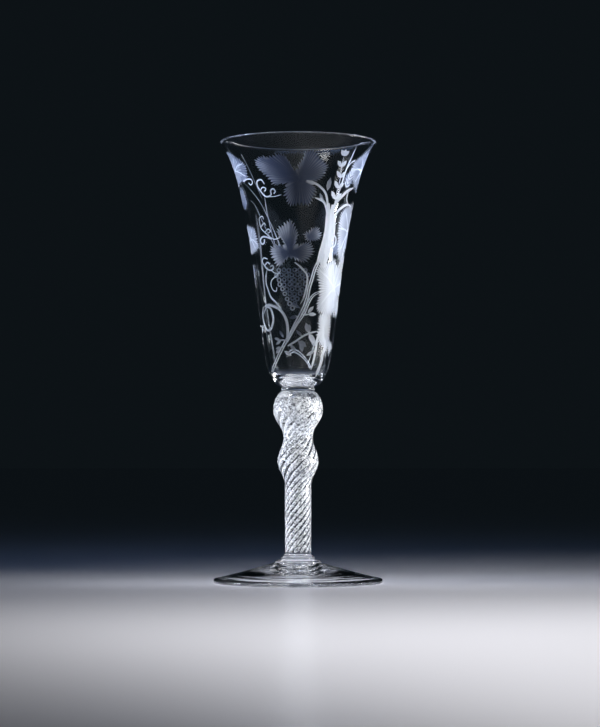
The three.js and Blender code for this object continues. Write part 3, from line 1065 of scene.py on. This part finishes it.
# The leaves at the sides, drawn in angles and heights.
RIM_LEAF = [
    (73, 198.5), (67, 196.7), (61, 195.1), (57, 193.5), (56, 191.2), (57, 188.5), (61, 186), (68, 183.7),
    (73, 182.6), (84, 180.5), (94, 181.5), (99, 185), (96, 188.5), (107, 187.5), (113, 191), (110, 195),
    (99, 194), (104, 198), (100, 201.5), (92, 201.5), (87, 197.5), (83, 200), (78, 200.5),
]
STRIP_LEAF = [
    (61, 172.9), (54, 170.4), (52, 167.6), (52, 164.9), (52, 161.3), (54, 157.7), (56, 154.1), (58, 151),
    (66, 148.5), (77, 149.5), (82, 155), (92, 150.5), (101, 152.5), (105, 158), (95, 161), (108, 163),
    (111, 168), (103, 172.5), (91, 168.5), (90, 174), (82, 176), (73, 174.5),
]
GREAT_LEAF = [
    (46, 148.5), (35, 147), (26, 145.4), (24, 142.6), (27, 139.5), (29, 136.3), (30, 133.2), (28, 130),
    (27, 127.2), (29, 125), (36, 123.7), (48, 122.5), (61, 123.1), (65, 125.9), (74, 122.5), (85, 124),
    (90, 129), (79, 133), (92, 133.5), (99, 138), (95, 143.5), (82, 142.5), (87, 148), (79, 151.5),
    (67, 150), (60, 146), (54, 149.5),
]
LOW_LEAF = [
    (59, 122.1), (48, 124.5), (34, 123.7), (31, 120.9), (32, 117.3), (30, 114.1), (34, 110.9), (43, 108.7),
    (57, 107.9), (60, 112.1), (60, 116.7),
]
LOW_BUD = [(53, 113.4), (64, 104.3), (70, 106.7), (77, 109), (68, 111.2)]
LEFT_RIM_LEAF = [
    (-72, 184.8), (-67, 184.5), (-56, 185.4), (-54, 187.5), (-53, 190.2), (-54, 192.5), (-59, 194.5),
    (-64, 196.1), (-72, 197.5), (-84, 199.5), (-98, 199), (-107, 194), (-106, 188), (-96, 184), (-84, 183),
]
LEFT_RIM_EDGE = [
    (-74, 185), (-68, 187), (-66, 191), (-68, 195.5), (-74, 198.5), (-86, 199.5), (-98, 198), (-104, 192),
    (-98, 186), (-86, 184),
]
LEFT_BUD = [
    (-76, 172.4), (-69, 173.5), (-66, 175.2), (-67, 178), (-68, 180.7), (-73, 182.7), (-82, 182.4),
    (-88, 179), (-86, 174),
]
LEFT_LEAF = [
    (-65, 152.5), (-59, 153.3), (-54, 155), (-56, 157.8), (-57, 160.9), (-59, 163.3), (-69, 164.5),
    (-84, 165.5), (-98, 162), (-99, 156), (-84, 152),
]

# The veins of those leaves: each heart, and where the veins that leave it end.
SIDE_VEINS = [
    ((82, 190.4), [(60, 190), (70, 184.5), (70, 196.5), (95, 184), (109, 191), (99, 199.5)]),
    ((80, 162), [(55, 163), (62, 153), (62, 171), (72, 151.5), (101, 155), (107, 167), (84, 173.5)]),
    ((58, 136), [(29, 143.5), (31, 126.5), (50, 147), (80, 126), (94, 139), (79, 149)]),
    ((46, 116.5), [(36, 122.5), (34, 113), (50, 109.5), (50, 122.5)]),
    ((-80, 190.5), [(-58, 192.5), (-58, 187), (-72, 196), (-95, 195), (-100, 188)]),
    ((-74, 158.8), [(-58, 156), (-66, 163), (-64, 154), (-88, 163), (-92, 156)]),
]

# The leaflets of the low sprigs: where each starts, where it ends, its width in mm and its tone.
SPRIG_LEAFLETS = [
    ((-30, 111.8), (-41, 112.8), 1.5, 0.7),
    ((-28, 111.6), (-39, 109.8), 1.5, 0.7),
    ((-29, 108.6), (-40, 107.8), 1.4, 0.7),
    ((-29, 108.2), (-41, 105.7), 1.6, 0.7),
    ((-23, 112.7), (-30, 116.2), 1.5, 0.5),
    ((-24, 106.8), (-11, 104.6), 1.8, 0.95),
    ((6, 113.5), (-3, 116.2), 1.5, 0.5),
    ((17, 114.9), (12, 119.6), 2.6, 0.65),
    ((17, 114.8), (18, 119), 1.8, 0.65),
    ((17, 114.7), (28, 110.2), 2.8, 1.0),
    ((0, 111.3), (14, 108.6), 2.8, 0.6),
    ((5, 110.8), (7, 106.2), 2.2, 0.6),
    ((-13, 109.5), (-4, 106.9), 1.8, 0.7),
    ((28, 106.8), (14, 104.6), 1.8, 0.9),
    ((14, 123.5), (28, 123.5), 1.8, 0.95),
    ((14, 123.9), (23, 127.2), 1.7, 0.85),
    ((0, 122.6), (-13, 121.6), 1.8, 0.45),
    ((3, 126.2), (-11, 128.8), 1.8, 0.45),
]


def cut_front():
    """What the photograph shows: angles from the front toward the right, and heights in mm."""
    leaf(2, 184, BROAD_LEAF, matt=0.42, left=0.24, right=0.10)
    leaf(-10, 151, THREE_LOBED_LEAF, left=0.95, right=0.15)
    leaf(13, 158.3, YOUNG_LEAF, tooth=1.2, matt=0.42, right=0.3)
    stem_groove(1.1, [(9, 183.6), (19, 182), (28, 178.6), (32, 173.8), (33, 168.4)])
    vine([
        (-63, 97), (-43, 102), (-32, 106), (-20, 111), (-11, 115), (-4, 119), (3, 123), (9, 127),
        (13, 131), (15, 135), (19, 140), (22, 144), (28, 149), (32, 155), (33, 162), (33, 168),
    ])
    vine([(-18, 111), (-3, 118.5), (9, 124), (14, 128), (21, 132), (33, 134)], width=0.5, gap=0.3)
    stem_groove(1.3, [(-18, 112), (-16, 116), (-18, 121), (-25, 125), (-35, 127), (-48, 128), (-61, 127)])
    stem_groove(1.2, [
        (-61, 127), (-65, 122), (-58, 117), (-47, 117), (-40, 121), (-43, 126), (-52, 127), (-61, 124),
    ])
    stem_groove(0.9, [
        (-25, 126), (-33, 129), (-41, 131.5), (-45, 135), (-48, 138), (-46, 142), (-42, 145),
    ])
    bunch(-8, 143.5, [6, 7, 6, 6, 5, 4, 3, 2, 1], frost=0.45)
    stem_groove(0.8, [(-4, 147), (6, 144), (12, 141), (12, 137), (8, 131), (3, 128)])
    curl(0.6, [(-64, 184.9), (-56, 185.6), (-50, 185.2), (-49, 183.7), (-52, 182.8), (-55, 184)])
    curl(0.75, [
        (-34, 182.6), (-37, 184.6), (-42, 184.2), (-43, 182.2), (-40, 179.8), (-36, 177.5), (-32, 176.9),
        (-28, 177.7), (-28, 179.5), (-25, 180.3), (-23, 179), (-25, 178.1),
    ])
    curl(0.6, [(-40, 179.8), (-37, 181.2), (-33, 180.6), (-35, 179.3)])
    curl(0.35, [(-32, 176.9), (-25, 176.8), (-17, 177.5)])
    curl(0.5, [
        (-41, 166.9), (-42, 168.3), (-47, 167.6), (-47.5, 165.2), (-46, 162.9), (-42, 161.3), (-38, 160),
        (-34, 158.6), (-28, 157.6), (-21, 158.4),
    ])
    curl(0.55, [(-46, 163.6), (-41, 165.2), (-39, 164.2)])
    curl(0.5, [(-41, 161), (-36, 162.4), (-33, 161.4), (-36, 160.6)])
    curl(0.8, [
        (-32, 157.8), (-40, 158.9), (-46, 159), (-50, 157.6), (-48, 155.9), (-44, 156.3), (-43, 157.9),
    ])
    curl(0.75, [
        (-41, 148.8), (-47, 149.5), (-51, 148.1), (-48, 146.2), (-43, 144.3), (-37, 143.7), (-33, 144.6),
        (-34, 145.9), (-38, 145.3),
    ])
    curl(0.7, [(-47, 146), (-42, 147.4), (-38, 146.4)])
    curl(0.5, [(-37, 143.7), (-31, 142.3), (-24, 142.2)])
    curl(0.6, [
        (-24, 142.6), (-30, 140.9), (-37, 139.2), (-39, 136.9), (-36, 134.6), (-31, 134.1), (-30, 135.8),
    ])
    frond([(41, 175.8), (42, 179.9), (44, 184), (42, 188.4), (42, 192.4), (42, 195.4)])
    frond([(54, 181.7), (56, 185.4), (58, 188.6)], length=3.4, width=1.1, spacing=1.7)
    stem_groove(0.9, [(41, 174), (46, 181.8), (48, 187.7), (50, 192.3), (52, 196.3), (53, 200)])
    stem_groove(0.7, [(49, 190), (53, 192.8), (59, 194.5)])
    stem_groove(1.5, [(38, 168), (41, 172.7), (45, 175.5), (50, 177.5), (57, 180), (70, 182.4)])
    stem_groove(0.9, [(64, 174.4), (59, 176.9), (60, 180.6)])
    stem_groove(1.3, [(46, 160), (44, 167.4), (47, 170.6), (55, 173.1), (64, 174.4), (74, 173.7)])
    stem_groove(1.1, [(34, 167), (32, 170.7), (28, 174.2), (23, 175.4), (17, 176.2)])
    leaflet((27, 174), (22, 178.4), 1.6, 0.6)
    leaflet((30, 179.5), (32, 185.5), 2.6, 0.5)
    stem_groove(5.4, [
        (37, 171), (38, 165), (38, 160), (37, 155), (34, 150), (31, 145),
    ], depth=TRUNK_DEPTH, frost=0.9)
    stem_groove(2.3, [
        (33, 174), (34, 169.8), (34.5, 165.3), (34, 160.8), (32, 156.3), (29, 151.7), (24, 146),
    ])
    stem_groove(2.7, [
        (39, 173.5), (39.5, 168.6), (41, 164.1), (41, 159.6), (40, 155.1), (38, 150.5), (36, 145),
    ])
    stem_groove(0.9, [(46, 164), (46, 159.3), (46, 154.8), (47, 150.4), (51, 145.9)])
    curl(0.7, [(46, 160), (50, 158.5), (50, 155.8), (47, 154.3)])
    stem_groove(1.4, [(33, 160), (37, 155), (36, 149)])
    side_leaf(82, 190.4, RIM_LEAF, tooth=1.3, matt=0.56, middle=0.48)
    side_leaf(80, 162, STRIP_LEAF, tooth=1.2, matt=0.66, middle=0.55)
    side_leaf(58, 136, GREAT_LEAF, tooth=1.3, matt=0.88, middle=0.82)
    side_leaf(46, 116.5, LOW_LEAF, tooth=1.2, matt=0.95, middle=0.95)
    side_leaf(66, 109.3, LOW_BUD, tooth=1.0, matt=1.0, middle=0.95)
    for heart, tips in SIDE_VEINS:
        for tip in tips:
            halfway = ((heart[0] + tip[0]) / 2, (heart[1] + tip[1]) / 2 + VEIN_RISE)
            stem_groove(VEIN_WIDTH, [heart, halfway, tip], start=VEIN_START)
    stem_groove(1.2, [(35, 115.5), (32, 111.8), (31, 108.2), (29, 103.6), (26, 98.1)])
    stem_groove(1.8, [(53, 109.7), (47, 105.5), (46, 101.9), (43, 98.2), (41, 95)])
    stem_groove(0.9, [(-17, 109), (-3, 111.3), (8, 113.5), (19, 114.9), (33, 115.9)])
    stem_groove(0.5, [(19, 113.6), (25, 110), (28, 106.3)], frost=0.6)
    stem_groove(0.7, [(-21, 111.8), (-32, 111.8)], frost=0.7)
    stem_groove(0.7, [(-23, 109), (-31, 108.2)], frost=0.7)
    stem_groove(0.8, [(7, 123.1), (16, 123.5)], frost=0.9)
    for stroke in SPRIG_LEAFLETS:
        leaflet(*stroke)


def cut_left():
    """The left side, which the photograph shows edge on."""
    side_leaf(-80, 190.5, LEFT_RIM_LEAF, tooth=1.3, matt=0.45, left=0, right=0.12, middle=0.42)
    side_leaf(-82, 190.5, LEFT_RIM_EDGE, tooth=1.3, matt=0.62, left=0, middle=0.56)
    side_leaf(-78, 178, LEFT_BUD, tooth=1.2, matt=0.52, left=0, middle=0.48)
    side_leaf(-74, 158.8, LEFT_LEAF, tooth=1.2, matt=0.75, middle=0.62)
    vine([
        (-128, 97), (-122, 108), (-118, 120), (-116, 133), (-118, 145), (-121, 158), (-122, 172),
    ], frost=0.6)
    bunch(-88, 146, [3, 4, 3, 2, 1], frost=0.5)
    sprig([(-88, 118), (-81, 119), (-75, 118)])
    sprig([(-90, 110), (-99, 113), (-106, 113)])
    tendril([(-93, 138), (-102, 136), (-108, 131)])


def cut_back():
    """The far side, where the photograph shows little but thin shoots through the clear glass."""
    vine([(150, 98), (163, 104), (176, 107), (190, 108), (204, 106)], width=0.5, gap=0.3, frost=0.6)
    stem_groove(0.6, [(199, 150), (204, 158), (214, 168), (226, 178), (241, 184), (254, 186)], frost=0.5)
    stem_groove(0.6, [(202, 154), (212, 158), (226, 168), (236, 176), (244, 178)], frost=0.5)
    stem_groove(0.6, [(199, 150), (209, 156), (217, 171), (218, 184)], frost=0.5)
    stem_groove(0.6, [(236, 200), (230, 190), (222, 180)], frost=0.5)
    stem_groove(1.0, [(100, 97), (106, 108), (112, 118), (108, 130)])
    leaf(116, 186, YOUNG_LEAF, size=1.2, turn=20)
    leaf(114, 156, YOUNG_LEAF, size=1.2, turn=-30)
    sprig([(160, 103), (154, 107), (150, 110)])


cut_front()
cut_left()
cut_back()

# The tolerances of the flat wall's division into facets, which is worked out in millimetres.
WHOLE_SHEET = 0
SAME_POINT_MM = 1e-4
INSIDE_FACET = -1e-6


def all_cuts():
    """The cuts' points and facets, with those that cross the seam at the back on both its sides."""
    half = math.pi * CHART_RADIUS
    points = np.array(cut_points)
    shapes = [points]
    faces = [np.array(cut_faces)]
    for shift in (-2 * half, 2 * half):
        moved = points.copy()
        moved[:, 0] += shift
        faces.append(np.array(cut_faces) + sum(len(shape) for shape in shapes))
        shapes.append(moved)
    points = np.concatenate(shapes)
    faces = np.concatenate(faces)
    wanted = (np.abs(points[faces, 0]) < half + SEAM_OVERLAP).any(axis=1)
    faces = faces[wanted]
    used = np.unique(faces)
    renumber = np.zeros(len(points), dtype=int)
    renumber[used] = np.arange(len(used))
    return points[used], renumber[faces]


def clear_places(points):
    """An even grid on the flat wall, without the places that lie close to a cut."""
    half = math.pi * CHART_RADIUS
    near = KDTree(len(points))
    for i, (x, y, depth, frost) in enumerate(points):
        near.insert((x, y, 0), i)
    near.balance()
    columns = np.linspace(-half, half, ROUND_STEPS + 1)
    rows = np.linspace(engraved_low, engraved_high, WALL_ROWS)
    grid = [(x, y) for y in rows for x in columns]
    border = {engraved_low, engraved_high}
    return [place for place in grid if place[1] in border or near.find((*place, 0))[2] > CLEAR_MARGIN]


def cut_wall():
    """Divides the flat wall into facets, and tells how deep each corner is and how much frost it has,
    painted light included.
    """
    half = math.pi * CHART_RADIUS
    low, high = engraved_low, engraved_high
    points, faces = all_cuts()
    corners = [(-half, low), (half, low), (half, high), (-half, high)]
    places = [tuple(point[:2]) for point in points] + clear_places(points) + corners
    count = len(places)
    edges = [(count - 4, count - 3), (count - 3, count - 2), (count - 2, count - 1), (count - 1, count - 4)]
    places = [Vector(place) / MM for place in places]
    divided = delaunay_2d_cdt(places, edges, faces.tolist(), WHOLE_SHEET, SAME_POINT_MM, True)
    flat = np.array([tuple(place) for place in divided[0]]) * MM
    found = np.array(divided[2])
    inside = divided[5]
    middle = flat[found].mean(axis=1)
    keep = (np.abs(middle[:, 0]) < half) & (middle[:, 1] > low) & (middle[:, 1] < high)
    depth = np.zeros(len(flat))
    frost = np.zeros(len(flat))
    matt = np.zeros(len(found), dtype=bool)
    kept = np.flatnonzero(keep)
    # Each facet is paired with every cut that it belongs to, and its corners are placed in the
    # cut's own two directions, b and c.
    number = np.repeat(kept, [len(inside[i]) for i in kept])
    owner = np.array([shape for i in kept for shape in inside[i]], dtype=int)
    corner = points[faces[owner]]
    base = corner[:, 1:, :2] - corner[:, :1, :2]
    determinant = base[:, 0, 0] * base[:, 1, 1] - base[:, 0, 1] * base[:, 1, 0]
    spots = np.concatenate([flat[found[number]], middle[number][:, None]], axis=1)
    away = spots - corner[:, :1, :2]
    b = (away[:, :, 0] * base[:, None, 1, 1] - away[:, :, 1] * base[:, None, 1, 0]) / determinant[:, None]
    c = (away[:, :, 1] * base[:, None, 0, 0] - away[:, :, 0] * base[:, None, 0, 1]) / determinant[:, None]
    true = np.minimum(np.minimum(b[:, 3], c[:, 3]), 1 - b[:, 3] - c[:, 3]) > INSIDE_FACET
    matt[number[true]] = True
    step_b = (corner[:, 1] - corner[:, 0])[:, None, 2:]
    step_c = (corner[:, 2] - corner[:, 0])[:, None, 2:]
    value = corner[:, :1, 2:] + b[:, :3, None] * step_b + c[:, :3, None] * step_c
    value = value[true].reshape(-1, 2)
    place = found[number[true]].ravel()
    np.maximum.at(depth, place, np.minimum(value[:, 0], DEEPEST_CUT))
    np.maximum.at(frost, place, value[:, 1])
    return flat, found[keep], matt[keep], depth, frost


def wall_places(flat, depth):
    """Rolls the flat wall round the bowl and sinks its cuts."""
    run = flat[:, 1]
    out = np.interp(run, wall_run, np.gradient(wall_height, wall_run))
    up = -np.interp(run, wall_run, np.gradient(wall_radius, wall_run))
    radius = np.interp(run, wall_run, wall_radius) - depth * out
    height = np.interp(run, wall_run, wall_height) - depth * up
    angle = flat[:, 0] / CHART_RADIUS
    places = np.stack([radius * np.sin(angle), -radius * np.cos(angle), height], axis=1)
    normals = np.stack([out * np.sin(angle), -out * np.cos(angle), up], axis=1)
    return places, normals


# The kinds of the bowl's faces: uncut wall, cut wall, plain glass and lip.
CLEAR, CUT, PLAIN, LIP = range(4)
CUT_CREASE = 32
PLAIN_CREASE = 50
SAME_CORNER = 0.0008 * MM
SHORT_EDGE = 0.0002 * MM
LARGEST_GAP_SIDES = 6


def mend(sheet):
    """Closes the wall's seams, fills its smallest gaps and drops the slivers left beside them."""
    loose = [vertex for vertex in sheet.verts if not vertex.link_faces]
    bmesh.ops.delete(sheet, geom=loose, context="VERTS")
    bmesh.ops.remove_doubles(sheet, verts=sheet.verts, dist=SAME_CORNER)
    bmesh.ops.dissolve_degenerate(sheet, edges=sheet.edges, dist=SHORT_EDGE)
    open_edges = [edge for edge in sheet.edges if edge.is_boundary]
    bmesh.ops.holes_fill(sheet, edges=open_edges, sides=LARGEST_GAP_SIDES)
    slivers = [edge.link_faces[0] for edge in sheet.edges if edge.is_boundary]
    slivers = [face for face in slivers if any(len(edge.link_faces) > 2 for edge in face.edges)]
    bmesh.ops.delete(sheet, geom=slivers, context="FACES")


def crease(sheet):
    """Smooths every face, but keeps the cuts' outlines and their steep folds sharp."""
    layer = sheet.faces.layers.int["kind"]
    for edge in sheet.edges:
        if len(edge.link_faces) == 2:
            one, other = edge.link_faces
            outline = (one[layer] == CUT) != (other[layer] == CUT)
            steepest = math.radians(PLAIN_CREASE if one[layer] >= PLAIN else CUT_CREASE)
            edge.smooth = not outline and one.normal.angle(other.normal, 0) < steepest
    for face in sheet.faces:
        face.smooth = True


def engraved_bowl():
    """Joins the cut wall to the plain base, lip and inside, and smooths each kind of face."""
    flat, wall_faces, matt_faces, cut_depth, frost_and_painted_light = cut_wall()
    places, normals = wall_places(flat, cut_depth)
    seams = []
    for run in (engraved_low, engraved_high):
        radius = np.interp(run, wall_run, wall_radius)
        seams.append((float(radius), float(np.interp(run, wall_run, wall_height))))
    wall = list(zip(wall_run, outer_wall))
    base = [(0.0, bowl_low.z)]
    base += [tuple(point) for run, point in wall if run < engraved_low - SEAM_GAP] + [seams[0]]
    rest = [seams[1]] + [tuple(point) for run, point in wall if run > engraved_high + SEAM_GAP]
    rest += [tuple(point) for point in inner_wall]
    vertices = [tuple(place) for place in places]
    faces = [tuple(face) for face in wall_faces]
    kinds = [CUT if matt else CLEAR for matt in matt_faces]
    for outline in (base, rest):
        more, plain = turned_rows(outline, len(vertices))
        vertices += more
        faces += plain
        kinds += [PLAIN] * len(plain)
    lip = [vertex[2] > lip_height - LIP_DEPTH for vertex in vertices]
    kinds = [LIP if all(lip[corner] for corner in face) else kind for face, kind in zip(faces, kinds)]
    mesh = bpy.data.meshes.new("engraved_bowl")
    mesh.from_pydata(vertices, [], faces)
    mesh.attributes.new("kind", "INT", "FACE").data.foreach_set("value", kinds)
    plain_count = len(vertices) - len(frost_and_painted_light)
    frost_and_painted_light = np.concatenate([frost_and_painted_light, np.zeros(plain_count)])
    # The frost attribute also carries the painted light on the leaves' borders.
    mesh.attributes.new("frost", "FLOAT", "POINT").data.foreach_set("value", frost_and_painted_light)
    normals = np.concatenate([normals, np.zeros((plain_count, 3))])
    mesh.attributes.new("wall_normal", "FLOAT_VECTOR", "POINT").data.foreach_set("vector", normals.ravel())
    sheet = bmesh.new()
    sheet.from_mesh(mesh)
    mend(sheet)
    crease(sheet)
    sheet.to_mesh(mesh)
    sheet.free()
    bowl = bpy.data.objects.new("engraved_bowl", mesh)
    bpy.context.collection.objects.link(bowl)
    return bowl


def polish(mesh):
    """Gives the uncut wall the smooth normals of the blown form, and returns the faces' kinds."""
    corners = np.zeros(len(mesh.loops), dtype=int)
    mesh.loops.foreach_get("vertex_index", corners)
    totals = np.zeros(len(mesh.polygons), dtype=int)
    mesh.polygons.foreach_get("loop_total", totals)
    kinds = np.zeros(len(mesh.polygons), dtype=int)
    mesh.attributes["kind"].data.foreach_get("value", kinds)
    walls = np.zeros(len(mesh.vertices) * 3)
    mesh.attributes["wall_normal"].data.foreach_get("vector", walls)
    normals = walls.reshape(-1, 3)[corners]
    normals[np.repeat(kinds, totals) != CLEAR] = 0
    mesh.normals_split_custom_set(normals)
    return kinds


BOWL_SHEEN = 0.20
LIP_SHEEN = 1.0
LIP_ROUGHNESS = 0.2
MATT_FINISH = {
    "IOR": CRYSTAL_IOR,
    "Transmission Weight": 0.74,
    "Specular Tint": (0.4, 0.4, 0.42, 1),
}
MATT_DARK = (0.045, 0.07, 0.14, 1)
MATT_WHITE = (0.90, 0.95, 1.0, 1)
MATT_FAINTEST = 0.4
MATT_ROUGHNESS = {"To Min": 0.38, "To Max": 0.62}
GRAIN_SIZE = 0.25 * MM
GRAIN_HEIGHT = 0.02 * MM
GRAIN_DETAIL = 2
GRAIN_STRENGTH = 0.6


def engraved_matt():
    """The ground surface that the wheel leaves: a fine pale grain that scatters light."""
    material = shaded("engraved_matt", MATT_FINISH)
    tree = material.node_tree
    shader = tree.nodes["Principled BSDF"]
    # The frost attribute sets the matt glass's tone and roughness. On the leaves' borders it carries
    # painted light as well.
    frost_and_light_node = add_node(tree, "ShaderNodeAttribute", attribute_name="frost")
    ground = add_node(tree, "ShaderNodeMapRange", {"From Min": MATT_FAINTEST})
    rough = add_node(tree, "ShaderNodeMapRange", MATT_ROUGHNESS)
    tone = add_node(tree, "ShaderNodeMix", data_type="RGBA")
    set_inputs(tone, {"A": MATT_DARK, "B": MATT_WHITE})
    wire(
        tree,
        (frost_and_light_node, "Fac", ground, "Value"),
        (ground, "Result", tone, "Factor"),
        (tone, "Result", shader, "Base Color"),
        (frost_and_light_node, "Fac", rough, "Value"),
        (rough, "Result", shader, "Roughness"),
    )
    add_ripple(tree, 1 / GRAIN_SIZE, GRAIN_HEIGHT, GRAIN_DETAIL, GRAIN_STRENGTH)
    return material


bowl = engraved_bowl()
kinds = polish(bowl.data)
bowl.data.materials.append(crystal("engraved_crystal", sheen=BOWL_SHEEN))
weld_faces(bowl, [bowl_low.z])
bowl.data.materials.append(engraved_matt())
bowl.data.materials.append(crystal("polished_lip", roughness=LIP_ROUGHNESS, sheen=LIP_SHEEN))
finishes = {CUT: 2, LIP: 3}
for face, kind in zip(bowl.data.polygons, kinds):
    if kind in finishes:
        face.material_index = finishes[kind]
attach(bowl, "root")
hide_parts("bowl")
